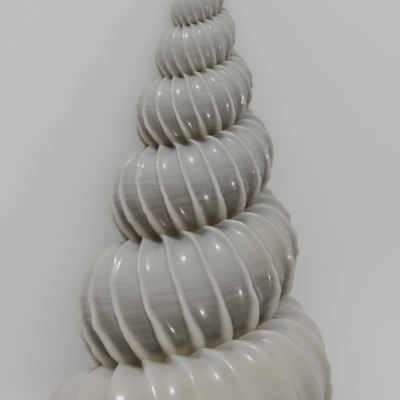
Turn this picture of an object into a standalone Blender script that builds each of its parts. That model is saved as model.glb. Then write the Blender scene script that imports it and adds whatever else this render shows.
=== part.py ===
"""A wentletrap shell that lies on its side with the aperture down.

Everything follows one logarithmic spiral. A point of the shell is given by its growth angle,
which is 0 at the lip and negative before it, and by its place: the radius and the drop below
the spiral's start that it would have at the lip. The outside is one strip that winds from the
tip to the lip. Its columns follow the ribs, and the lower end of each column is the upper end
of a column one whorl later, so both whorls share the suture. On the last whorl the columns go
on over the base to the pillar. The hollow is an oval tube that runs back from the aperture.
"""

import math

import bmesh
import bpy
from mathutils import Matrix, Vector

NAME = "wentletrap_shell"
MM = 0.001
FULL_TURN = 2 * math.pi

# Spiral, with the section of the whorl at the lip
GROWTH = 1.354
SPIRAL_TURNS = 11.2
SECTION_RADIUS = 5.3 * MM
SECTION_CENTRE = Vector((2.63 * MM, 30.87 * MM))
TIP_DROP = 25.0 * MM
SPIRE_SLIMMING = 0.2
SLIMMING_START_TURNS = 2.5
SLIMMING_END_TURNS = 5.2

# Ribs: a link of them, with their lean, goes once around the shell
RIBS_PER_LINK = 17
LEAN_RUN = math.radians(28.9)
LEAN_HOOK = math.radians(7.1)
LEAN_HOOK_FADE = 0.06
LEAN_BELOW = math.radians(12.2)
LEAN_BASE = math.radians(18.0)
RIB_HALF_WIDTH = math.radians(3.0)
RIB_HEIGHT = 0.5 * MM
RIB_HEIGHT_AT_SUTURE = 1.06 * MM
RIB_HEIGHT_AT_PILLAR = 0.2 * MM
RIB_RISE = 2.0
RIB_ANGLE_AT_SUTURE = math.radians(-46.5)
SHOULDER_ROW = 0.19
PLAIN_TIP_TURNS = 1.8
RIB_GROWTH_TURNS = 1.2
LIP_SWELL = 1.15
LIP_HALF_WIDTH = math.radians(5.0)
LIP_FORWARD = math.radians(3.0)

# Base and pillar
BASE_END_ANGLE = math.radians(-108.0)
PILLAR_FOOT_DROP = 34.2 * MM
PILLAR_POINTS = 3

# Hollow
HOLLOW_CENTRE = Vector((4.45 * MM, 31.03 * MM))
HOLLOW_HALF_WIDTH = 3.05 * MM
HOLLOW_HALF_HEIGHT = 4.3 * MM
HOLLOW_LOOPS = 32
HOLLOW_STEP = math.radians(27.0)
MOUTH_FLARE = 1.05

# Rows from suture to suture (0 to 1) and from the suture to the pillar (1 to 2)
ROWS = (0.0, 0.09, SHOULDER_ROW, 0.34, 0.52, 0.72, 0.88, 1.0)
TIP_ROWS = (0.0, 0.2, 0.6, 1.0)
BASE_ROWS = (1.33, 1.67, 2.0)
FINE_TURNS = 7.3

# How the shell comes to rest, from standing on its base
REST_ROLL = math.radians(173.173)
REST_PITCH = math.radians(-15.636)

# Finish
COLOUR = (0.56, 0.53, 0.47, 1.0)
ROUGHNESS = 0.28
SMOOTH_ANGLE = math.radians(40.0)

RIB_SPACING = (FULL_TURN - LEAN_RUN - LEAN_HOOK) / RIBS_PER_LINK
FIRST_RIB = -round(FULL_TURN * SPIRAL_TURNS / RIB_SPACING)
SIDES = (-1, 0, 1)
COLUMNS_PER_LINK = RIBS_PER_LINK * len(SIDES)


def mix(low, high, share):
    """Returns the value that lies the given share of the way from low to high."""
    return low + (high - low) * share


def ramp(value, start, end):
    """Returns 0 before start, 1 after end and a straight rise between them."""
    return min(1.0, max(0.0, (value - start) / (end - start)))


def on_spiral(angle, place):
    """Returns the point of the shell with this growth angle and place."""
    size = GROWTH ** (angle / FULL_TURN)
    radius = size * place.x
    return Vector((radius * math.cos(angle), -radius * math.sin(angle), -size * place.y))


def spiral_address(point):
    """Returns the growth angle, within half a turn of the lip, and the place of a point."""
    angle = math.atan2(-point.y, point.x)
    size = GROWTH ** (angle / FULL_TURN)
    return angle, Vector((math.hypot(point.x, point.y), -point.z)) / size


def section_place(angle, height):
    """Returns the place at an angle on the round section, height above the wall."""
    reach = SECTION_RADIUS + height
    return SECTION_CENTRE + reach * Vector((math.cos(angle), -math.sin(angle)))


def section_angle(place):
    """Returns the angle at which a place lies on the section."""
    offset = place - SECTION_CENTRE
    return math.atan2(-offset.y, offset.x)


def valley_suture_place():
    """Returns where a whorl's round section meets the larger section of the next whorl."""
    apart = SECTION_CENTRE.length * (GROWTH - 1)
    along = (apart ** 2 + SECTION_RADIUS ** 2 * (1 - GROWTH ** 2)) / (2 * apart)
    across = math.sqrt(SECTION_RADIUS ** 2 - along ** 2)
    down = SECTION_CENTRE.normalized()
    return SECTION_CENTRE + along * down + across * Vector((down.y, -down.x))


VALLEY_LOW_ANGLE = section_angle(valley_suture_place())
VALLEY_TOP_ANGLE = section_angle(valley_suture_place() / GROWTH)
RIB_LOW_PLACE = section_place(RIB_ANGLE_AT_SUTURE, RIB_HEIGHT_AT_SUTURE)
RIB_TOP_ANGLE = section_angle(RIB_LOW_PLACE / GROWTH)
RIB_TOP_HEIGHT = (RIB_LOW_PLACE / GROWTH - SECTION_CENTRE).length - SECTION_RADIUS


def lean(row):
    """Returns how far ahead of its rib's own angle a row lies."""
    if row > 1.0:
        return -LEAN_BELOW - LEAN_BASE * (row - 1.0)
    return -LEAN_BELOW + LEAN_RUN * (1.0 - row) + LEAN_HOOK * math.exp(-row / LEAN_HOOK_FADE)


def rib_height(row):
    """Returns how high a full-grown rib stands above the wall at a row."""
    if row > 1.0:
        return mix(RIB_HEIGHT_AT_SUTURE, RIB_HEIGHT_AT_PILLAR, row - 1.0)
    side = mix(RIB_HEIGHT, RIB_HEIGHT_AT_SUTURE, row ** RIB_RISE)
    shelf = mix(RIB_TOP_HEIGHT, RIB_HEIGHT, row / SHOULDER_ROW)
    return min(side, shelf)


def slenderness(turns):
    """Returns how much narrower the spire is than the plain spiral, turns before the lip."""
    return 1.0 - SPIRE_SLIMMING * ramp(turns, SLIMMING_START_TURNS, SLIMMING_END_TURNS)


def strip_point(rib, side, row):
    """Returns a point of a rib's crest (side 0) or of its foot (side -1 or 1) at a row."""
    half_width = LIP_HALF_WIDTH if rib == 0 else RIB_HALF_WIDTH
    angle = rib * RIB_SPACING + side * half_width + lean(row)
    across = min(row, 1.0)
    section = mix(VALLEY_TOP_ANGLE, VALLEY_LOW_ANGLE, across)
    height = 0.0
    if side == 0:
        plain_until = -(SPIRAL_TURNS - PLAIN_TIP_TURNS)
        grown = ramp(angle / FULL_TURN, plain_until, plain_until + RIB_GROWTH_TURNS)
        section = mix(section, mix(RIB_TOP_ANGLE, RIB_ANGLE_AT_SUTURE, across), grown)
        height = rib_height(row) * grown * (LIP_SWELL if rib == 0 else 1.0)
    section = mix(section, BASE_END_ANGLE, max(0.0, row - 1.0))
    place = section_place(section, height)
    place.x *= slenderness(-angle / FULL_TURN - across)
    return on_spiral(angle, place)


def add_columns(mesh):
    """Adds the strip's vertices and returns its columns, each a list of (row, vertex)."""
    columns = []
    for rib in range(FIRST_RIB, 1):
        fine = rib * RIB_SPACING >= -FULL_TURN * FINE_TURNS
        for side in SIDES[:2] if rib == 0 else SIDES:
            rows = ROWS if fine else TIP_ROWS
            if rib > -RIBS_PER_LINK or (rib == -RIBS_PER_LINK and side >= 0):
                rows = rows + BASE_ROWS
            column = [(row, mesh.verts.new(strip_point(rib, side, row))) for row in rows[1:]]
            if len(columns) < COLUMNS_PER_LINK:
                top = mesh.verts.new(strip_point(rib, side, 0.0))
            else:
                top = dict(columns[-COLUMNS_PER_LINK])[1.0]
            columns.append([(0.0, top)] + column)
    return columns


def lace(mesh, left, right):
    """Joins two columns with faces, also where one has more rows than the other."""
    i = 0
    j = 0
    while i + 1 < len(left) or j + 1 < len(right):
        left_row = left[i + 1][0] if i + 1 < len(left) else math.inf
        right_row = right[j + 1][0] if j + 1 < len(right) else math.inf
        corners = [right[j][1], left[i][1]]
        if left_row <= right_row:
            i += 1
            corners.append(left[i][1])
        if right_row <= left_row:
            j += 1
            corners.append(right[j][1])
        mesh.faces.new(corners)


def fan(mesh, rim, centre):
    """Closes a row of vertices with triangles that meet at a centre point."""
    tip = mesh.verts.new(centre)
    for first, second in zip(rim, rim[1:]):
        mesh.faces.new((first, second, tip))


def join_columns(mesh, columns):
    """Adds the faces between neighbouring columns of the strip."""
    for left, right in zip(columns, columns[1:]):
        last_row = min(left[-1][0], right[-1][0])
        shared_left = [entry for entry in left if entry[0] <= last_row]
        shared_right = [entry for entry in right if entry[0] <= last_row]
        lace(mesh, shared_left, shared_right)


def close_tip(mesh, columns):
    """Closes the start of the strip with a blunt tip."""
    rim = [column[0][1] for column in columns[:COLUMNS_PER_LINK]]
    rim += [vertex for _, vertex in reversed(columns[0])]
    size = GROWTH ** (FIRST_RIB * RIB_SPACING / FULL_TURN)
    fan(mesh, rim, Vector((0.0, 0.0, -size * TIP_DROP)))


def add_pillar(mesh, columns):
    """Closes the base around the axis and returns the pillar's edge inside the aperture."""
    rim = [column[-1][1] for column in columns[-COLUMNS_PER_LINK - 1:]]
    edge = []
    for i in range(PILLAR_POINTS):
        share = (i + 1) / (PILLAR_POINTS + 1)
        edge.append(mesh.verts.new(rim[-1].co.lerp(rim[0].co, share)))
    fan(mesh, rim + edge + rim[:1], Vector((0.0, 0.0, -PILLAR_FOOT_DROP)))
    return edge


def hollow_place(angle, flare):
    """Returns the place on the hollow's oval at an angle, the oval widened by flare."""
    across = math.cos(angle) / HOLLOW_HALF_WIDTH
    along = math.sin(angle) / HOLLOW_HALF_HEIGHT
    reach = flare / math.hypot(across, along)
    return HOLLOW_CENTRE + reach * Vector((math.cos(angle), math.sin(angle)))


def add_hollow(mesh, rim):
    """Adds the lip's face and the tube that winds back into the shell from the rim."""
    addresses = [spiral_address(vertex.co) for vertex in rim]
    offsets = [place - HOLLOW_CENTRE for _, place in addresses]
    around = [math.atan2(offset.y, offset.x) for offset in offsets]
    loops = [rim, []]
    for (angle, place), direction in zip(addresses, around):
        front = (place + hollow_place(direction, MOUTH_FLARE)) / 2
        loops[1].append(mesh.verts.new(on_spiral(angle + LIP_FORWARD, front)))
    for step in range(HOLLOW_LOOPS + 1):
        flare = MOUTH_FLARE if step == 0 else 1.0
        loops.append([])
        for (angle, _), direction in zip(addresses, around):
            point = on_spiral(angle - step * HOLLOW_STEP, hollow_place(direction, flare))
            loops[-1].append(mesh.verts.new(point))
    for outer, inner in zip(loops, loops[1:]):
        for i in range(len(rim)):
            mesh.faces.new((outer[i - 1], outer[i], inner[i], inner[i - 1]))
    end = on_spiral(-(HOLLOW_LOOPS + 1) * HOLLOW_STEP, HOLLOW_CENTRE)
    fan(mesh, loops[-1] + loops[-1][:1], end)


def lay_down(mesh):
    """Turns the standing shell to how it rests, with the middle of its underside at 0."""
    roll = Matrix.Rotation(REST_ROLL, 4, "Z")
    pitch = Matrix.Rotation(REST_PITCH - math.pi / 2, 4, "X")
    mesh.transform(pitch @ roll)
    low = Vector([min(vertex.co[axis] for vertex in mesh.verts) for axis in range(3)])
    high = Vector([max(vertex.co[axis] for vertex in mesh.verts) for axis in range(3)])
    middle = (low + high) / 2
    mesh.transform(Matrix.Translation((-middle.x, -middle.y, -low.z)))


def build_shell_mesh():
    """Returns the finished mesh of the shell."""
    mesh = bmesh.new()
    columns = add_columns(mesh)
    join_columns(mesh, columns)
    close_tip(mesh, columns)
    pillar_edge = add_pillar(mesh, columns)
    outer_lip = [vertex for _, vertex in columns[-1]]
    wall_side = [vertex for row, vertex in columns[-COLUMNS_PER_LINK - 1] if row > 1.0]
    add_hollow(mesh, outer_lip + pillar_edge + wall_side[::-1])
    bmesh.ops.recalc_face_normals(mesh, faces=mesh.faces)
    lay_down(mesh)
    return mesh


def shell_material():
    """Returns the shell's plain finish."""
    material = bpy.data.materials.new("shell")
    material.use_nodes = True
    surface = material.node_tree.nodes["Principled BSDF"]
    surface.inputs["Base Color"].default_value = COLOUR
    surface.inputs["Roughness"].default_value = ROUGHNESS
    surface.inputs["Metallic"].default_value = 0.0
    return material


def main():
    """Builds the shell as one object in a collection of its own."""
    for old in list(bpy.data.objects):
        bpy.data.objects.remove(old)
    data = bpy.data.meshes.new(NAME)
    mesh = build_shell_mesh()
    mesh.to_mesh(data)
    mesh.free()
    data.materials.append(shell_material())
    data.shade_smooth()
    data.set_sharp_from_angle(angle=SMOOTH_ANGLE)
    shell = bpy.data.objects.new(NAME, data)
    collection = bpy.data.collections.new("wentletrap shell")
    bpy.context.scene.collection.children.link(collection)
    collection.objects.link(shell)


main()
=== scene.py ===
"""The looks of a wentletrap shell that lies on its side with the aperture down.

The outside of the shell is grown by Geometry Nodes along one logarithmic spiral: strips of
ribbed wall that meet at the suture. The lip, the hollow, the pillar and the tip are added to
them in mesh code, and the whole is welded into one closed skin.
"""

from __future__ import annotations

import logging
import math
from dataclasses import dataclass, field, fields
from enum import Enum
from typing import Iterable, Sequence, Union

import bmesh
import bpy
from mathutils import Matrix, Vector


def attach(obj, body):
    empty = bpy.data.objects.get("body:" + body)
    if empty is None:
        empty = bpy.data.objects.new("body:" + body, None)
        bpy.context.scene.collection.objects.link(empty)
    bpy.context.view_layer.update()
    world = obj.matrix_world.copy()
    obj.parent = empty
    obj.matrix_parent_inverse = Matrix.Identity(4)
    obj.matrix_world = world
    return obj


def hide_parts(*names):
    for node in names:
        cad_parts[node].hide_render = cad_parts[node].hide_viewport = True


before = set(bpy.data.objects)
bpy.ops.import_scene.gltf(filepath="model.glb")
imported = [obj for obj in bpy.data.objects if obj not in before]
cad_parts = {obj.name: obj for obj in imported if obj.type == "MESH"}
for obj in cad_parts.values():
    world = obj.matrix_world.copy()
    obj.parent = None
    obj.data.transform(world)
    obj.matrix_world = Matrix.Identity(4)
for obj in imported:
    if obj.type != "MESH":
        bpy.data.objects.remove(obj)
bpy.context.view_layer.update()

NODE = "wentletrap_shell"
MM = 0.001
FULL_TURN = 2 * math.pi
AIM = Vector((0.0, 0.0, 0.008))
LOG = logging.getLogger("shell")

Number = Union[float, "Num"]


class Num:
    """A number socket of a node tree that takes part in Python expressions."""

    def __init__(self, graph: "Graph", socket: bpy.types.NodeSocket) -> None:
        """Wraps a socket.

        Args:
            graph: The tree that new Math nodes go into.
            socket: The output socket that gives the number.
        """
        self.graph = graph
        self.socket = socket

    def __add__(self, other: Number) -> "Num":
        """Returns self + other."""
        return self.graph.math("ADD", self, other)

    def __sub__(self, other: Number) -> "Num":
        """Returns self - other."""
        return self.graph.math("SUBTRACT", self, other)

    def __rsub__(self, other: Number) -> "Num":
        """Returns other - self."""
        return self.graph.math("SUBTRACT", other, self)

    def __mul__(self, other: Number) -> "Num":
        """Returns self * other."""
        return self.graph.math("MULTIPLY", self, other)

    def __truediv__(self, other: Number) -> "Num":
        """Returns self / other."""
        return self.graph.math("DIVIDE", self, other)

    def __rtruediv__(self, other: Number) -> "Num":
        """Returns other / self."""
        return self.graph.math("DIVIDE", other, self)

    def __pow__(self, other: Number) -> "Num":
        """Returns self to the power other."""
        return self.graph.math("POWER", self, other)

    def __neg__(self) -> "Num":
        """Returns -self."""
        return self.graph.math("MULTIPLY", self, -1.0)

    __radd__ = __add__
    __rmul__ = __mul__


class Graph:
    """Adds nodes to a tree, for shaders and for geometry alike."""

    def __init__(self, tree: bpy.types.NodeTree) -> None:
        """Wraps a node tree.

        Args:
            tree: The tree to add nodes to.
        """
        self.tree = tree

    def add(self, kind: str, settings: dict | None = None, sockets: dict | None = None):
        """Adds one node.

        Args:
            kind: The node's type.
            settings: Properties that are set first; "stops" fills a colour ramp.
            sockets: Values, numbers or sockets to link, by socket name or index.

        Returns:
            The new node.
        """
        node = self.tree.nodes.new(kind)
        for name, value in (settings or {}).items():
            if name == "stops":
                self._fill_ramp(node.color_ramp, value)
            else:
                setattr(node, name, value)
        for name, value in (sockets or {}).items():
            self._feed(self._input(node, name), value)
        return node

    @staticmethod
    def _fill_ramp(ramp: bpy.types.ColorRamp, stops: Sequence[tuple]) -> None:
        """Gives a colour ramp its stops, each a (position, colour) pair."""
        while len(ramp.elements) < len(stops):
            ramp.elements.new(0.5)
        for element, (position, colour) in zip(ramp.elements, stops):
            element.position = position
            element.color = colour

    @staticmethod
    def _input(node: bpy.types.Node, name: str | int) -> bpy.types.NodeSocket:
        """Returns a node's input in use that has this name or index."""
        if isinstance(name, int):
            return node.inputs[name]
        return next(socket for socket in node.inputs if socket.enabled and socket.name == name)

    def _feed(self, socket: bpy.types.NodeSocket, value) -> None:
        """Links a socket to a number or another socket, or sets its plain value."""
        if isinstance(value, Num):
            self.tree.links.new(value.socket, socket)
        elif isinstance(value, bpy.types.NodeSocket):
            self.tree.links.new(value, socket)
        else:
            socket.default_value = value

    def math(self, operation: str, *values: Number, clamp: bool = False) -> Num:
        """Adds a Math node.

        Args:
            operation: The node's operation.
            values: Its operands.
            clamp: Whether the result is kept between 0 and 1.

        Returns:
            The result.
        """
        settings = {"operation": operation, "use_clamp": clamp}
        node = self.add("ShaderNodeMath", settings, dict(enumerate(values)))
        return Num(self, node.outputs[0])

    def number(self, node: bpy.types.Node, output: str | int = 0) -> Num:
        """Returns one of a node's outputs in use as a number."""
        if isinstance(output, int):
            return Num(self, node.outputs[output])
        found = next(item for item in node.outputs if item.enabled and item.name == output)
        return Num(self, found)

    def mix(self, low: Number, high: Number, share: Number) -> Num:
        """Returns the value that lies the given share of the way from low to high."""
        return low + (high - low) * share

    def ramp(self, value: Num, start: Number, end: Number) -> Num:
        """Returns 0 before start, 1 after end and a straight rise between them."""
        return self.math("ADD", (value - start) / (end - start), 0.0, clamp=True)

    def smooth(self, value: Num, start: float, end: float) -> Num:
        """Returns 0 before start, 1 after end and a smooth rise between them."""
        share = self.ramp(value, start, end)
        return share * share * (3.0 - share * 2.0)

    def split(self, vector: bpy.types.NodeSocket) -> list[Num]:
        """Returns the three numbers of a vector socket."""
        node = self.add("ShaderNodeSeparateXYZ", sockets={0: vector})
        return [Num(self, output) for output in node.outputs]

    def vector(self, x: Number, y: Number, z: Number) -> bpy.types.NodeSocket:
        """Returns a vector socket made of three numbers."""
        return self.add("ShaderNodeCombineXYZ", sockets={0: x, 1: y, 2: z}).outputs[0]

    def colour_mix(self, share: Number, first, second, blend: str = "MIX"):
        """Blends two colours.

        Args:
            share: How much of the second colour is used.
            first: The first colour, a value or a socket.
            second: The second colour, a value or a socket.
            blend: The Mix node's blend type.

        Returns:
            The colour socket of the result.
        """
        settings = {"data_type": "RGBA", "blend_type": blend}
        node = self.add("ShaderNodeMix", settings, {"Factor": share, "A": first, "B": second})
        return next(item for item in node.outputs if item.enabled)


@dataclass(frozen=True)
class Spiral:
    """The logarithmic spiral, with the section of the whorl at the lip."""

    growth: float = 1.354
    turns: float = 11.2
    section_radius: float = 5.3 * MM
    centre_radius: float = 2.63 * MM
    centre_drop: float = 30.87 * MM
    slimming: float = 0.2
    slimming_start: float = -2.5
    slimming_end: float = -5.2
    pit_inward: float = 0.3 * MM
    pit_depth: float = 1.15 * MM

    @property
    def centre(self) -> Vector:
        """Radius and drop of the section's centre."""
        return Vector((self.centre_radius, self.centre_drop))

    def size(self, angle: float) -> float:
        """Returns how large the shell is at a growth angle, as a share of the lip's size."""
        return self.growth ** (angle / FULL_TURN)

    def point(self, angle: float, place: Vector) -> Vector:
        """Returns the standing shell's point with this growth angle, radius and drop."""
        size = self.size(angle)
        radius = size * place.x
        return Vector((radius * math.cos(angle), -radius * math.sin(angle), -size * place.y))

    def address(self, point: Vector) -> tuple[float, Vector]:
        """Returns a point's growth angle, within half a turn of the lip, and its place."""
        angle = math.atan2(-point.y, point.x)
        return angle, Vector((math.hypot(point.x, point.y), -point.z)) / self.size(angle)

    def section_place(self, angle: float, height: float) -> Vector:
        """Returns the place at an angle on the section, height above the wall."""
        reach = self.section_radius + height
        return self.centre + reach * Vector((math.cos(angle), -math.sin(angle)))

    def section_angle(self, place: Vector) -> float:
        """Returns the angle at which a place lies on the section."""
        offset = place - self.centre
        return math.atan2(-offset.y, offset.x)

    def pit_place(self) -> Vector:
        """Returns the bottom of the pit between two rib feet at the suture."""
        return self.suture_place() + Vector((-self.pit_inward, self.pit_depth))

    def suture_place(self) -> Vector:
        """Returns where the section meets the larger section of the next whorl."""
        apart = self.centre.length * (self.growth - 1)
        along = (apart ** 2 + self.section_radius ** 2 * (1 - self.growth ** 2)) / (2 * apart)
        across = math.sqrt(self.section_radius ** 2 - along ** 2)
        down = self.centre.normalized()
        return self.centre + along * down + across * Vector((down.y, -down.x))


@dataclass(frozen=True)
class RibForm:
    """How the ribs lean, how wide they are and how high they stand."""

    per_link: int = 17
    lean_run: float = math.radians(28.9)
    lean_hook: float = math.radians(7.1)
    hook_fade: float = 0.06
    lean_below: float = math.radians(12.2)
    lean_base: float = math.radians(18.0)
    crest_width: float = 0.18
    crest_width_at_suture: float = 0.46
    broad_share: float = 0.3
    broad_share_above: float = 0.4
    broad_share_newest: float = 0.7
    softer_newest: float = 0.45
    fuller_newest: float = 0.22 * MM
    broader_from: float = -0.95
    broader_by: float = 0.6
    worn_from: float = -2.2
    worn_until: float = -4.4
    worn_height: float = 0.5
    height: float = 0.50 * MM
    height_at_suture: float = 1.06 * MM
    height_at_pillar: float = 0.2 * MM
    rise: float = 2.0
    angle_at_suture: float = math.radians(-46.5)
    base_end_angle: float = math.radians(-108.0)
    shoulder_row: float = 0.19
    shoulder_round: float = 0.44 * MM
    plain_tip_turns: float = 1.8
    growth_turns: float = 1.2
    lip_swell: float = 0.15
    lip_widening: float = 0.6
    uneven_height: float = 0.12
    uneven_crest: float = 0.95
    uneven_line: float = 0.22
    uneven_wall: float = 0.05 * MM

    @property
    def spacing(self) -> float:
        """Growth angle from rib to rib."""
        return (FULL_TURN - self.lean_run - self.lean_hook) / self.per_link


@dataclass(frozen=True)
class StripPart:
    """One stretch of the strip: which ribs and rows it spans, and how finely."""

    name: str
    first_rib: int
    last_rib: int
    first_row: float
    last_row: float
    rows: int
    row_ease: float
    columns_per_rib: int = 12

    @property
    def columns(self) -> int:
        """Number of columns of vertices."""
        return (self.last_rib - self.first_rib) * self.columns_per_rib + 1


@dataclass
class RibbedWall:
    """Grows the ribbed outside of the shell with Geometry Nodes."""

    spiral: Spiral
    ribs: RibForm
    crest_crowding: float = 0.45
    seed: int = 4
    _sockets: dict[str, str] = field(default_factory=dict)

    WHOLE_INPUTS = ("Columns", "Rows", "Columns per rib", "Seed")

    def values(self, part: StripPart) -> dict[str, float]:
        """Returns every named input of the tree and its value for one part."""
        spiral, ribs = self.spiral, self.ribs
        low_rib = spiral.section_place(ribs.angle_at_suture, ribs.height_at_suture)
        top_rib = low_rib / spiral.growth
        low_wall = spiral.suture_place()
        pit = spiral.pit_place()
        values = {
            "Columns": part.columns,
            "Rows": part.rows,
            "Columns per rib": part.columns_per_rib,
            "Seed": self.seed,
            "First rib": float(part.first_rib),
            "First row": part.first_row,
            "Last row": part.last_row,
            "Row ease": part.row_ease,
            "Crest crowding": self.crest_crowding,
            "Rib spacing": ribs.spacing,
            "Wall top angle": spiral.section_angle(low_wall / spiral.growth),
            "Wall low angle": spiral.section_angle(low_wall),
            "Rib top angle": spiral.section_angle(top_rib),
            "Rib top height": (top_rib - spiral.centre).length - spiral.section_radius,
            "Suture radius": pit.x,
            "Suture drop": pit.y,
            "Rib suture radius": low_rib.x,
            "Rib suture drop": low_rib.y,
        }
        for form in (spiral, ribs):
            for item in fields(form):
                label = item.name.replace("_", " ").capitalize()
                values[label] = float(getattr(form, item.name))
        return values

    def build_tree(self, material: bpy.types.Material) -> bpy.types.NodeTree:
        """Builds the tree that grows one part of the strip.

        Args:
            material: The finish that the tree gives to what it grows.

        Returns:
            The Geometry Nodes tree.
        """
        tree = bpy.data.node_groups.new("grow ribbed wall", "GeometryNodeTree")
        tree.interface.new_socket("Geometry", in_out="OUTPUT", socket_type="NodeSocketGeometry")
        for name in self.values(StripPart("", 0, 1, 0.0, 1.0, 2, 0.0)):
            kind = "NodeSocketInt" if name in self.WHOLE_INPUTS else "NodeSocketFloat"
            socket = tree.interface.new_socket(name, in_out="INPUT", socket_type=kind)
            self._sockets[name] = socket.identifier
        g = Graph(tree)
        start = g.add("NodeGroupInput")
        size = {name: Num(g, start.outputs[name]) for name in self._sockets}
        grid_sizes = {"Size X": 1.0, "Size Y": 1.0}
        grid_counts = {"Vertices X": size["Columns"], "Vertices Y": size["Rows"]}
        grid = g.add("GeometryNodeMeshGrid", sockets={**grid_sizes, **grid_counts})
        position = g.add("GeometryNodeInputPosition").outputs[0]
        x, y, _ = g.split(position)
        rib, off, row = self._coordinates(g, size, x + 0.5, y + 0.5)
        place, crest = self._wall_position(g, size, rib, off, row)
        geometry = grid.outputs["Mesh"]
        geometry = self._store(g, geometry, "rib", crest)
        geometry = self._store(g, geometry, "seam", self._seam(g, size, rib + off, row))
        map_x, map_y, _ = g.split(grid.outputs["UV Map"])
        map_rib, map_off, map_row = self._coordinates(g, size, map_x, map_y)
        turn = (map_rib + map_off) * size["Rib spacing"] * (1 / FULL_TURN)
        chart = g.vector(turn, map_row, 0.0)
        settings = {"data_type": "FLOAT2", "domain": "CORNER"}
        sockets = {"Geometry": geometry, "Name": "chart", "Value": chart}
        geometry = g.add("GeometryNodeStoreNamedAttribute", settings, sockets).outputs[0]
        moved = g.add("GeometryNodeSetPosition", sockets={"Geometry": geometry, "Position": place})
        smooth = g.add("GeometryNodeSetShadeSmooth", sockets={"Geometry": moved.outputs[0]})
        real = g.add("GeometryNodeRealizeInstances", sockets={"Geometry": smooth.outputs[0]})
        dress = {"Geometry": real.outputs[0], "Material": material}
        dressed = g.add("GeometryNodeSetMaterial", sockets=dress)
        g.add("NodeGroupOutput", sockets={"Geometry": dressed.outputs[0]})
        return tree

    @staticmethod
    def _store(g: Graph, geometry: bpy.types.NodeSocket, name: str, value: Num):
        """Stores a number on the points under a name and returns the geometry socket."""
        settings = {"data_type": "FLOAT", "domain": "POINT"}
        sockets = {"Geometry": geometry, "Name": name, "Value": value}
        return g.add("GeometryNodeStoreNamedAttribute", settings, sockets).outputs[0]

    @staticmethod
    def _coordinates(g: Graph, size: dict[str, Num], along: Num, across: Num) -> list[Num]:
        """Turns shares of the grid into the strip's own coordinates.

        Args:
            g: The tree's graph.
            size: The tree's inputs.
            along: Share of the way along the strip.
            across: Share of the way across the strip.

        Returns:
            The nearest rib's number, how far off it a point is in ribs, and the row.
        """
        sample = g.math("ROUND", along * (size["Columns"] - 1.0))
        plain = size["First rib"] + sample / size["Columns per rib"]
        rib = g.math("ROUND", plain)
        near = plain - rib
        crowding = size["Crest crowding"]
        off = near * crowding + near * near * near * (1.0 - crowding) * 4.0
        steps = size["Rows"] - 1.0
        share = g.math("ROUND", across * steps) / steps
        eased = share - g.math("SINE", share * FULL_TURN) * size["Row ease"] * (1 / FULL_TURN)
        row = g.mix(size["First row"], size["Last row"], eased)
        return [rib, off, row]

    @staticmethod
    def _seam(g: Graph, size: dict[str, Num], rib: Num, row: Num) -> Num:
        """Returns 1 at the suture and 0 half-way between two of them."""
        apart = g.math("ABSOLUTE", row * 2.0 - 1.0)
        lower = g.math("GREATER_THAN", row, 0.5)
        last_whorl = g.math("GREATER_THAN", rib, -size["Per link"] - 0.01)
        return g.math("MINIMUM", apart, 1.0) * (1.0 - lower * last_whorl)

    @staticmethod
    def _rib_height(g: Graph, size: dict[str, Num], row: Num) -> Num:
        """Returns how high a full-grown rib stands above the wall at a row from 0 to 1."""
        side = g.mix(size["Height"], size["Height at suture"], row ** size["Rise"])
        shelf = g.mix(size["Rib top height"], size["Height"], row / size["Shoulder row"])
        return g.math("SMOOTH_MIN", side, shelf, size["Shoulder round"])

    def _wall_position(self, g: Graph, size: dict[str, Num], rib: Num, off: Num, row: Num):
        """Works out where a point of the strip lies.

        Args:
            g: The tree's graph.
            size: The tree's inputs.
            rib: The nearest rib's number.
            off: How far off the rib the point is, in ribs.
            row: The point's row.

        Returns:
            The position socket, and how much of a rib's crest the point is, from 0 to 1.
        """
        side = g.math("MINIMUM", row, 1.0)
        below = g.math("MAXIMUM", row - 1.0, 0.0)
        free = side * (1.0 - side) * 4.0
        settled = free * (2.0 - free)
        chance = {"Min": -1.0, "Max": 1.0, "ID": rib, "Seed": size["Seed"]}
        luck = g.number(g.add("FunctionNodeRandomValue", {"data_type": "FLOAT"}, chance), "Value")
        line = g.vector(rib * 7.31, row * 5.5, 3.7)
        waviness = size["Uneven line"] * (0.3 + luck * luck)
        drift = self._noise(g, line, 1.0) * waviness * free
        near_rib = 1.0 - off * off * 4.0
        count = rib + off + drift * near_rib
        hook = size["Lean hook"] * g.math("EXPONENT", -row / size["Hook fade"])
        lean = size["Lean run"] * (1.0 - side) + hook - size["Lean base"] * below
        angle = count * size["Rib spacing"] + lean - size["Lean below"]
        turn = angle * (1 / FULL_TURN)

        lip = g.smooth(rib + off, -0.5, 0.0) * settled
        flare = g.smooth(side, 0.6, 1.0) + 1.0 - g.smooth(side, 0.0, 0.22)
        width = g.mix(size["Crest width"], size["Crest width at suture"], flare)
        newest = g.ramp(turn, size["Broader from"], size["Broader from"] + 0.4)
        width = width * (1.0 + lip * size["Lip widening"] + newest * size["Broader by"])
        reach = g.math("MINIMUM", g.math("ABSOLUTE", off) / width, 1.0)
        sharp = g.math("COSINE", reach * math.pi) * 0.5 + 0.5
        broad = g.math("COSINE", off * FULL_TURN) * 0.5 + 0.5
        merging = g.smooth(side, 0.0, 0.2) * (1.0 - g.smooth(side, 0.3, 0.75))
        above = g.mix(size["Broad share above"], size["Broad share newest"], newest)
        share = g.mix(size["Broad share"], above, merging)
        worn = g.ramp(turn + side, size["Worn from"], size["Worn until"]) * free
        wave = g.mix(sharp, broad, g.mix(share, 0.85, worn))
        plain_until = size["Plain tip turns"] - size["Turns"]
        grown = g.ramp(turn + side, plain_until, plain_until + size["Growth turns"])
        crest = wave * grown

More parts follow.
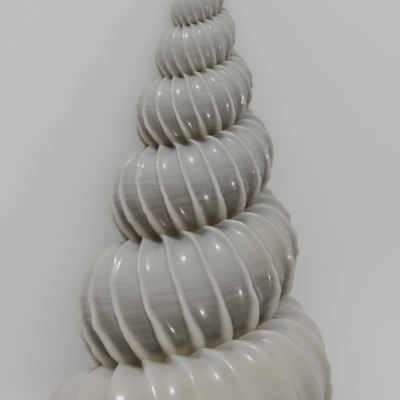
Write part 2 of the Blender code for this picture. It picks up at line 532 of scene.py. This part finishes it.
        bumps = self._noise(g, g.vector(rib * 3.17, row * 10.0, 9.1), 1.0)
        luck = luck * size["Uneven height"] + bumps * size["Uneven crest"]
        full = self._rib_height(g, size, side) * (1.0 + luck * free)
        full = full * (1.0 + lip * size["Lip swell"]) * (1.0 - worn * size["Worn height"])
        full = full * (1.0 - newest * merging * size["Softer newest"])
        full = full - (size["Height at suture"] - size["Height at pillar"]) * below
        patch = g.vector((rib + off) * 1.7, row * 4.0, 0.0)
        height = full * crest + self._noise(g, patch, 1.0) * size["Uneven wall"] * free
        height = height + newest * merging * size["Fuller newest"]

        wall_angle = g.mix(size["Wall top angle"], size["Wall low angle"], side)
        rib_angle = g.mix(size["Rib top angle"], size["Angle at suture"], side)
        section = g.mix(g.mix(wall_angle, rib_angle, crest), size["Base end angle"], below)
        radius, drop = self._section_place(g, size, section, height)

        low_angle = g.mix(size["Wall low angle"], size["Angle at suture"], crest)
        top_angle = g.mix(size["Wall top angle"], size["Rib top angle"], crest)
        low = self._section_place(g, size, low_angle, size["Height at suture"] * crest)
        top = self._section_place(g, size, top_angle, size["Rib top height"] * crest)
        seam_radius = g.mix(size["Suture radius"], size["Rib suture radius"], crest)
        seam_drop = g.mix(size["Suture drop"], size["Rib suture drop"], crest)
        from_low = (side ** 7.0) * ((1.0 - below) ** 3.0)
        from_top = (1.0 - side) ** 4.5
        growth = size["Growth"]
        radius = radius + (seam_radius - low[0]) * from_low
        radius = radius + (seam_radius / growth - top[0]) * from_top
        drop = drop + (seam_drop - low[1]) * from_low
        drop = drop + (seam_drop / growth - top[1]) * from_top

        scale = growth ** turn
        slim = g.ramp(turn + side, size["Slimming start"], size["Slimming end"])
        flat = radius * scale * (1.0 - slim * size["Slimming"])
        place = g.vector(
            flat * g.math("COSINE", angle),
            -(flat * g.math("SINE", angle)),
            -(drop * scale),
        )
        return place, sharp * grown * (1.0 - worn * 0.7)

    @staticmethod
    def _section_place(g: Graph, size: dict[str, Num], angle: Num, height: Num) -> list[Num]:
        """Returns radius and drop at an angle on the section, height above the wall."""
        reach = size["Section radius"] + height
        radius = size["Centre radius"] + reach * g.math("COSINE", angle)
        drop = size["Centre drop"] - reach * g.math("SINE", angle)
        return [radius, drop]

    @staticmethod
    def _noise(g: Graph, vector: bpy.types.NodeSocket, scale: float) -> Num:
        """Returns smooth noise from -0.5 to 0.5 at a vector."""
        sockets = {"Vector": vector, "Scale": scale, "Detail": 1.0}
        return g.number(g.add("ShaderNodeTexNoise", sockets=sockets), 0) - 0.5

    def grow(self, part: StripPart, tree: bpy.types.NodeTree) -> bpy.types.Mesh:
        """Grows one part of the strip.

        Args:
            part: What the part spans.
            tree: The tree that grows it.

        Returns:
            The part's plain mesh, standing, in order of columns and then rows.
        """
        seed_mesh = bpy.data.meshes.new(part.name)
        holder = bpy.data.objects.new(part.name, seed_mesh)
        bpy.context.collection.objects.link(holder)
        modifier = holder.modifiers.new("grow", "NODES")
        modifier.node_group = tree
        for name, value in self.values(part).items():
            modifier[self._sockets[name]] = value
        depsgraph = bpy.context.evaluated_depsgraph_get()
        grown = bpy.data.meshes.new_from_object(holder.evaluated_get(depsgraph))
        holder.modifiers.remove(modifier)
        bpy.data.objects.remove(holder)
        return grown


@dataclass
class Hollow:
    """The lip and the oval tube that winds back from the aperture."""

    spiral: Spiral
    centre_radius: float = 4.45 * MM
    centre_drop: float = 31.03 * MM
    half_width: float = 3.05 * MM
    half_height: float = 4.3 * MM
    turns: float = 2.4
    step: float = math.radians(9.0)
    flare: float = 1.05
    lip_forward: float = math.radians(3.0)
    lip_steps: int = 9

    @property
    def centre(self) -> Vector:
        """Radius and drop of the tube's middle."""
        return Vector((self.centre_radius, self.centre_drop))

    def oval_place(self, direction: float, flare: float) -> Vector:
        """Returns the place on the tube's oval in a direction, widened by flare."""
        across = math.cos(direction) / self.half_width
        along = math.sin(direction) / self.half_height
        reach = flare / math.hypot(across, along)
        return self.centre + reach * Vector((math.cos(direction), math.sin(direction)))

    def add(self, skin: "Skin", rim: list[Vector]) -> None:
        """Adds the rounded lip and the hollow behind it.

        Args:
            skin: The skin that the faces go into.
            rim: Points around the aperture's outer edge, in order.
        """
        addresses = [self.spiral.address(point) for point in rim]
        offsets = [place - self.centre for _, place in addresses]
        around = [math.atan2(offset.y, offset.x) for offset in offsets]
        loops = [rim]
        for i in range(1, self.lip_steps):
            turn = math.pi * i / self.lip_steps
            loop = []
            for (angle, outer), direction in zip(addresses, around):
                inner = self.oval_place(direction, self.flare)
                place = outer.lerp(inner, (1 - math.cos(turn)) / 2)
                loop.append(self.spiral.point(angle + self.lip_forward * math.sin(turn), place))
            loops.append(loop)
        steps = round(self.turns * FULL_TURN / self.step)
        for i in range(steps + 1):
            flare = 1 + (self.flare - 1) * math.exp(-i * self.step / math.radians(12.0))
            loop = []
            for (angle, _), direction in zip(addresses, around):
                place = self.oval_place(direction, flare)
                loop.append(self.spiral.point(angle - i * self.step, place))
            loops.append(loop)
        shades = [0.0] * self.lip_steps + [min(1.0, i / 6) for i in range(steps + 1)]
        rings = [skin.ring(loop, inside=shade) for loop, shade in zip(loops, shades)]
        for outer, inner in zip(rings, rings[1:]):
            skin.bridge(outer, inner)
        end = self.spiral.point(-(steps + 2) * self.step, self.centre)
        skin.fan(rings[-1] + rings[-1][:1], end, inside=1.0)


class Skin:
    """The shell's whole surface while it is put together."""

    def __init__(self) -> None:
        """Starts an empty skin."""
        self.mesh = bmesh.new()

    def take(self, part: bpy.types.Mesh) -> None:
        """Adds a grown part to the skin.

        Args:
            part: The part's mesh, which is used up.
        """
        self.mesh.from_mesh(part)
        bpy.data.meshes.remove(part)

    def ring(self, points: Iterable[Vector], inside: float = 0.0) -> list[bmesh.types.BMVert]:
        """Adds a row of vertices.

        Args:
            points: Where they go.
            inside: How far into the hollow they are, from 0 to 1.

        Returns:
            The new vertices.
        """
        layer = self.mesh.verts.layers.float.get("inside")
        if layer is None:
            layer = self.mesh.verts.layers.float.new("inside")
        row = []
        for point in points:
            vertex = self.mesh.verts.new(point)
            vertex[layer] = inside
            row.append(vertex)
        return row

    def bridge(self, outer: list, inner: list) -> None:
        """Joins two closed rings of as many vertices with quads."""
        for i in range(len(outer)):
            self.mesh.faces.new((outer[i - 1], outer[i], inner[i], inner[i - 1]))

    def fan(self, rim: list, centre: Vector, inside: float = 0.0) -> None:
        """Closes an open row of vertices with triangles that meet at a centre point."""
        tip = self.ring([centre], inside)[0]
        for first, second in zip(rim, rim[1:]):
            self.mesh.faces.new((first, second, tip))

    def close(self, weld: float) -> None:
        """Welds the parts, fills the slits between fine and coarse parts and faces all out.

        Args:
            weld: How near two vertices are to become one.
        """
        bmesh.ops.remove_doubles(self.mesh, verts=self.mesh.verts, dist=weld)
        slits = [edge for edge in self.mesh.edges if edge.is_boundary]
        LOG.info("open edges after the weld: %d", len(slits))
        bmesh.ops.holes_fill(self.mesh, edges=slits)
        left = sum(1 for edge in self.mesh.edges if not edge.is_manifold)
        LOG.info("open edges after the slits are filled: %d", left)
        bmesh.ops.recalc_face_normals(self.mesh, faces=self.mesh.faces)
        for face in self.mesh.faces:
            face.smooth = True


@dataclass(frozen=True)
class RestPose:
    """How the shell lies: from standing on its base to lying on its side."""

    roll: float = math.radians(173.173)
    pitch: float = math.radians(-15.636)
    spiral_start: tuple[float, float, float] = (0.6386 * MM, 17.6118 * MM, -0.0011 * MM)

    @property
    def matrix(self) -> Matrix:
        """Takes a point of the standing shell to the frame."""
        roll = Matrix.Rotation(self.roll, 4, "Z")
        pitch = Matrix.Rotation(self.pitch - math.pi / 2, 4, "X")
        return Matrix.Translation(self.spiral_start) @ pitch @ roll


@dataclass(frozen=True)
class NacreFinish:
    """The glossy, slightly translucent finish of the shell."""

    rib_colour: tuple = (0.395, 0.387, 0.362, 1.0)
    foot_colour: tuple = (0.39, 0.368, 0.30, 1.0)
    wall_colour: tuple = (0.298, 0.294, 0.282, 1.0)
    # Dark colour of the painted shade on the lower wall between the ribs.
    deep_colour: tuple = (0.068, 0.058, 0.035, 1.0)
    old_foot_colour: tuple = (0.25, 0.22, 0.165, 1.0)
    # Brown of the suture stain, also used for painted shade under the rib feet.
    stain_colour: tuple = (0.17, 0.135, 0.066, 1.0)
    new_stain_colour: tuple = (0.31, 0.265, 0.17, 1.0)
    warm_colour: tuple = (0.38, 0.371, 0.325, 1.0)
    cream_colour: tuple = (0.355, 0.335, 0.265, 1.0)
    spot_colour: tuple = (0.07, 0.035, 0.012, 1.0)
    tinge_colour: tuple = (0.31, 0.277, 0.195, 1.0)
    inside_colour: tuple = (0.46, 0.44, 0.40, 1.0)
    roughness: float = 0.3
    coat: float = 0.8
    coat_roughness: float = 0.07
    refraction: float = 1.55
    glow: float = 0.6

    def build(self) -> bpy.types.Material:
        """Builds the finish.

        Returns:
            The new material.
        """
        material = bpy.data.materials.new("shell nacre")
        material.use_nodes = True
        material.node_tree.nodes.clear()
        g = Graph(material.node_tree)
        chart = g.add("ShaderNodeUVMap", {"uv_map": "chart"})
        turn, row, _ = g.split(chart.outputs[0])
        rib = self._attribute(g, "rib")
        seam = self._attribute(g, "seam")
        inside = self._attribute(g, "inside")
        place = g.add("ShaderNodeTexCoord").outputs["Object"]

        clouds = self._noise(g, place, 420.0, 4.0)
        drifts = self._noise(g, place, 130.0, 2.0)
        streaks = self._noise(g, g.vector(turn * 7.0, row * 30.0, 1.0), 1.0, 3.0)
        ridge = g.smooth(rib, 0.2, 0.9)
        crest = ridge * g.math("MAXIMUM", g.smooth(row, 0.25, 0.65), g.smooth(seam, 0.7, 0.95))
        # Painted shade: the lower part of each whorl between the ribs is mixed towards a dark colour
        # where shade falls, with a wavy edge; rib crests are mostly spared.
        level = row + (drifts - 0.5) * 0.3 + (streaks - 0.5) * 0.35
        low_wall = g.smooth(level, 0.25, 0.9) * (1.0 - crest * 0.9)
        old = g.smooth(-turn, 1.5, 2.1)
        foot = g.colour_mix(old, self.foot_colour, self.old_foot_colour)
        rib_tone = g.colour_mix(g.smooth(row, 0.6, 0.95), self.rib_colour, foot)
        wall = g.colour_mix(crest, self.wall_colour, rib_tone)
        newest = g.smooth(turn, -0.85, -0.5)
        wall = g.colour_mix(newest * 0.85, wall, self.warm_colour)
        cream = g.mix(0.25, 1.0, g.smooth(drifts, 0.45, 0.68))
        cream = cream * (1.0 - newest) * g.smooth(row, 0.05, 0.3)
        cream = cream * g.mix(0.15, 0.9, g.smooth(turn, -2.3, -1.5))
        wall = g.colour_mix(cream, wall, self.cream_colour)
        tinge = g.smooth(turn, -0.65, -0.4) * (1.0 - g.smooth(turn, -0.2, 0.05) * 0.5)
        tinge = tinge * g.smooth(row, 0.08, 0.32)
        tinge = tinge * g.mix(0.35, 0.85, g.smooth(drifts, 0.35, 0.65))
        wall = g.colour_mix(tinge, wall, self.tinge_colour)
        # Strength of the painted shade: weaker on the oldest whorls and on the newest one.
        shaded = g.mix(g.mix(0.9, 0.5, g.smooth(-turn, 2.4, 4.6)), 0.45, newest)
        wall = g.colour_mix(low_wall * shaded, wall, self.deep_colour)
        # Brown stain at the sutures together with painted shade: the band reaches further down the top of
        # each whorl, darkening the wall under the rib feet of the whorl above where their shade falls;
        # rib crests are mostly spared.
        lower = g.math("GREATER_THAN", row, 0.5)
        reach = g.mix(0.07, (1.0 - old) * 0.06, lower)
        stain_and_shade = g.smooth(seam + reach + (clouds - 0.5) * 0.4, 0.86, 1.02) * (1.0 - ridge * 0.85)
        stain_and_shade_tone = g.colour_mix(old, self.new_stain_colour, self.stain_colour)
        stain_and_shade = stain_and_shade * g.mix(0.55, 1.0, lower)
        wall = g.colour_mix(stain_and_shade * 0.9, wall, stain_and_shade_tone)
        spots = self._noise(g, g.vector(turn * 17.0, 3.0, 0.0), 1.0, 1.0)
        spotted = stain_and_shade * g.smooth(spots, 0.5, 0.65) * g.mix(0.6, 0.8, old)
        wall = g.colour_mix(spotted, wall, self.spot_colour)
        wall = g.colour_mix(inside, wall, self.inside_colour)
        shade = g.mix(0.90, 1.10, clouds) * g.mix(0.92, 1.08, spots)
        wall = g.colour_mix(1.0, wall, g.vector(shade, shade, shade), blend="MULTIPLY")

        striae = self._noise(g, g.vector(turn * 3.0, row * 46.0, 0.0), 1.0, 2.0)
        lines = self._noise(g, g.vector(turn * 260.0, row * 2.0, 5.0), 1.0, 2.0)
        relief = striae * 0.5 + lines * 0.35
        bump_sockets = {"Strength": 0.4, "Distance": 0.00004, "Height": relief}
        bump = g.add("ShaderNodeBump", sockets=bump_sockets)
        rough = self.roughness + crest * 0.08 + stain_and_shade * 0.3 + (clouds - 0.5) * 0.06
        surface = g.add("ShaderNodeBsdfPrincipled", sockets={
            "Base Color": wall,
            "Roughness": rough,
            "IOR": self.refraction,
            "Coat Weight": self.coat,
            "Coat Roughness": self.coat_roughness,
            "Subsurface Weight": self.glow,
            "Subsurface Radius": (1.0, 0.9, 0.7),
            "Subsurface Scale": 0.0010,
            "Normal": bump.outputs[0],
        })
        g.add("ShaderNodeOutputMaterial", sockets={"Surface": surface.outputs[0]})
        return material

    @staticmethod
    def _attribute(g: Graph, name: str) -> Num:
        """Returns a number stored on the mesh."""
        node = g.add("ShaderNodeAttribute", {"attribute_name": name})
        return Num(g, node.outputs["Fac"])

    @staticmethod
    def _noise(g: Graph, vector: bpy.types.NodeSocket, scale: float, detail: float) -> Num:
        """Returns noise from 0 to 1 at a vector."""
        sockets = {"Vector": vector, "Scale": scale, "Detail": detail}
        return g.number(g.add("ShaderNodeTexNoise", sockets=sockets), 0)


@dataclass
class Shell:
    """The whole shell: its wall, lip, hollow, pillar and tip."""

    spiral: Spiral = field(default_factory=Spiral)
    ribs: RibForm = field(default_factory=RibForm)
    rest: RestPose = field(default_factory=RestPose)
    finish: NacreFinish = field(default_factory=NacreFinish)
    fine_ribs: int = 102
    fine_rows: int = 45
    coarse_rows: int = 12
    base_rows: int = 19
    pillar_foot_drop: float = 34.2 * MM
    pillar_points: int = 9
    tip_drop: float = 25.0 * MM
    weld: float = 1e-7

    def build(self) -> bpy.types.Object:
        """Builds the shell.

        Returns:
            The finished object.
        """
        material = self.finish.build()
        wall = RibbedWall(self.spiral, self.ribs)
        tree = wall.build_tree(material)
        first_rib = -round(FULL_TURN * self.spiral.turns / self.ribs.spacing)
        link = self.ribs.per_link
        spire_part = StripPart("spire", first_rib, -self.fine_ribs, 0.0, 1.0, self.coarse_rows, 0.5)
        whorl_part = StripPart("whorls", -self.fine_ribs, 0, 0.0, 1.0, self.fine_rows, 0.5)
        base_part = StripPart("base", -link, 0, 1.0, 2.0, self.base_rows, 0.0)
        spire = wall.grow(spire_part, tree)
        whorls = wall.grow(whorl_part, tree)
        base = wall.grow(base_part, tree)

        tip_rim = self._tip_rim(spire, spire_part)
        base_points = [vertex.co.copy() for vertex in base.vertices]
        whorl_points = [vertex.co.copy() for vertex in whorls.vertices]
        outer = whorl_points[-whorl_part.rows:] + base_points[-base_part.rows + 1:]
        inner_ends = base_points[base_part.rows - 1::base_part.rows]
        wall_side = base_points[1:base_part.rows]

        skin = Skin()
        for part in (spire, whorls, base):
            skin.take(part)
        edge = []
        for i in range(1, self.pillar_points + 1):
            share = i / (self.pillar_points + 1)
            edge.append(inner_ends[-1].lerp(inner_ends[0], share))
        pillar = skin.ring(inner_ends + edge + inner_ends[:1])
        skin.fan(pillar, Vector((0.0, 0.0, -self.pillar_foot_drop)))
        size = self.spiral.size(first_rib * self.ribs.spacing)
        skin.fan(skin.ring(tip_rim), Vector((0.0, 0.0, -size * self.tip_drop)))
        Hollow(self.spiral).add(skin, outer + edge + wall_side[::-1])
        skin.close(self.weld)
        return self._finish_object(skin, material)

    def _tip_rim(self, spire: bpy.types.Mesh, part: StripPart) -> list[Vector]:
        """Returns the open edge at the start of the strip, in order."""
        points = [vertex.co.copy() for vertex in spire.vertices]
        top = points[0:self.ribs.per_link * part.columns_per_rib * part.rows:part.rows]
        return top + points[part.rows - 1::-1]

    def _finish_object(self, skin: Skin, material: bpy.types.Material) -> bpy.types.Object:
        """Lays the skin down, makes it an object and gives it its finish."""
        data = bpy.data.meshes.new("ribbed shell")
        skin.mesh.transform(self.rest.matrix)
        skin.mesh.to_mesh(data)
        skin.mesh.free()
        data.materials.clear()
        data.materials.append(material)
        shell = bpy.data.objects.new("ribbed_shell", data)
        bpy.context.scene.collection.objects.link(shell)
        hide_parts(NODE)
        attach(shell, "root")
        return shell


class Lamp(Enum):
    """The studio's lamps: azimuth and height in degrees, distance, width, power, glint."""

    SOFT = (100.0, 48.0, 0.55, 0.50, 2.6, False)
    FILL = (215.0, 35.0, 0.60, 0.50, 0.8, False)
    TIP = (101.0, 4.5, 0.36, 0.064, 0.58, True)
    FRONT = (309.0, 61.0, 0.40, 0.052, 0.30, True)

    @property
    def place(self) -> Vector:
        """Where the lamp hangs."""
        azimuth, height, distance = self.value[:3]
        flat = distance * math.cos(math.radians(height))
        turn = math.radians(azimuth)
        up = distance * math.sin(math.radians(height))
        return Vector((flat * math.cos(turn), flat * math.sin(turn), up)) + AIM


@dataclass
class Studio:
    """The floor, the lamps and the camera."""

    rest: RestPose
    floor_half_width: float = 0.8
    floor_level: float = -0.00012
    metres_per_pixel: float = 0.053149 * MM
    pixels: int = 400
    apex_pixel: tuple[float, float] = (202.24, -117.56)
    camera_pixels_away: float = 11990.0
    front_angle: float = math.radians(-85.8)
    above_front: float = math.radians(8.77)
    camera_roll: float = math.radians(0.938)

    def build(self) -> None:
        """Builds the whole studio."""
        self._floor()
        for lamp in Lamp:
            self._lamp(lamp)
        self._world()
        self._camera()

    def _floor(self) -> None:
        """Lays a plain pale floor."""
        data = bpy.data.meshes.new("floor")
        half = self.floor_half_width
        level = self.floor_level
        corners = [(-half, -half, level), (half, -half, level), (half, half, level), (-half, half, level)]
        data.from_pydata(corners, [], [(0, 1, 2, 3)])
        material = bpy.data.materials.new("pale floor")
        material.use_nodes = True
        surface = material.node_tree.nodes["Principled BSDF"]
        surface.inputs["Base Color"].default_value = (0.76, 0.75, 0.73, 1.0)
        surface.inputs["Roughness"].default_value = 0.8
        data.materials.append(material)
        floor = bpy.data.objects.new("floor", data)
        bpy.context.scene.collection.objects.link(floor)

    @staticmethod
    def _lamp(lamp: Lamp) -> None:
        """Hangs one round area lamp that shines at the shell."""
        _, _, _, width, power, glint = lamp.value
        data = bpy.data.lights.new(lamp.name.lower(), "AREA")
        data.shape = "DISK"
        data.size = width
        data.energy = power
        light = bpy.data.objects.new(lamp.name.lower(), data)
        light.location = lamp.place
        light.rotation_euler = (AIM - lamp.place).to_track_quat("-Z", "Y").to_euler()
        light.visible_glossy = glint
        bpy.context.scene.collection.objects.link(light)

    @staticmethod
    def _world() -> None:
        """Gives the surroundings a dim, even light."""
        world = bpy.data.worlds.new("studio")
        world.use_nodes = True
        world.node_tree.nodes["Background"].inputs["Color"].default_value = (1.0, 0.99, 0.97, 1.0)
        world.node_tree.nodes["Background"].inputs["Strength"].default_value = 0.25
        bpy.context.scene.world = world

    def _camera(self) -> None:
        """Sets the camera at the photograph's viewing angle."""
        turn = self.rest.matrix.to_3x3()
        outward = Vector((math.cos(self.front_angle), -math.sin(self.front_angle), 0.0))
        tip_way = Vector((0.0, 0.0, 1.0))
        back = outward * math.cos(self.above_front) + tip_way * math.sin(self.above_front)
        up = tip_way * math.cos(self.above_front) - outward * math.sin(self.above_front)
        right = up.cross(back)
        across = self.pixels / 2 - self.apex_pixel[0]
        down = self.pixels / 2 - self.apex_pixel[1]
        cosine, sine = math.cos(self.camera_roll), math.sin(self.camera_roll)
        x = (cosine * across + sine * down) * self.metres_per_pixel
        y = (sine * across - cosine * down) * self.metres_per_pixel
        start = Vector(self.rest.spiral_start)
        target = start + turn @ (right * x + up * y)
        away = self.camera_pixels_away * self.metres_per_pixel
        place = start + turn @ (back * away)
        view = (target - place).normalized()
        image_up = turn @ (up * cosine - right * sine)
        side = view.cross(image_up).normalized()
        axes = Matrix((side, side.cross(view), -view)).transposed()
        data = bpy.data.cameras.new("camera")
        data.sensor_width = 36.0
        frame_width = self.pixels * self.metres_per_pixel
        data.lens = data.sensor_width * (target - place).length / frame_width
        data.clip_start = away / 20
        data.clip_end = away * 20
        camera = bpy.data.objects.new("camera", data)
        camera.matrix_world = Matrix.Translation(place) @ axes.to_4x4()
        bpy.context.scene.collection.objects.link(camera)
        bpy.context.scene.camera = camera


def main() -> None:
    """Builds the shell and then the studio around it."""
    logging.basicConfig(level=logging.INFO, format="%(name)s: %(message)s")
    shell = Shell()
    piece = shell.build()
    LOG.info("%s: %d faces", piece.name, len(piece.data.polygons))
    Studio(shell.rest).build()
    LOG.info("studio built")


if __name__ == "__main__":
    main()
